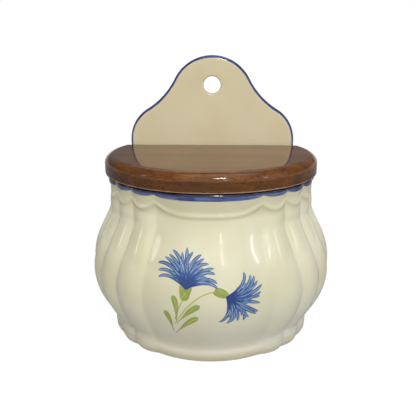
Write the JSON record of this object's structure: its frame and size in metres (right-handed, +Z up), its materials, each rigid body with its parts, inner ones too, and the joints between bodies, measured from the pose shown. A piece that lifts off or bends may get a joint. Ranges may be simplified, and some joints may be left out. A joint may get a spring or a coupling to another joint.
{
  "type": "wall salt box with hinged lid",
  "caption": "Glazed earthenware wall box for salt: gadrooned belly, arched back plate with a hanging hole, and a hinged wooden lid.",
  "frame": {"origin": "centre of the overall box at the underside of the foot", "axes": "+X to the viewer's right from the front, +Y into the wall, +Z up; the lid and the wide front lobe face -Y"},
  "size_m": [0.178, 0.1152, 0.2029],
  "materials": {
    "glaze": "glossy tin glaze",
    "varnished_wood": "gloss varnish",
    "brass": "dull",
    "fibre": "matte"
  },
  "bodies": {
    "box": {"ceramic_box": "glaze", "ceramic_back_plate": "glaze", "hinge_bracket_left": "brass", "hinge_bracket_right": "brass", "bracket_gaskets": "fibre", "bracket_screws": "brass", "bracket_washers": "brass", "bracket_nuts": "brass"},
    "lid": {"lid_board": "varnished_wood", "hinge_pin_left": "brass", "hinge_pin_right": "brass"}
  },
  "joints": [
    {"name": "lid_hinge", "type": "hinge", "parent": "box", "child": "lid", "pos_m": [0, 0.04342, 0.12965], "axis": [-1, 0, 0], "range_deg": [0, 90]}
  ]
}
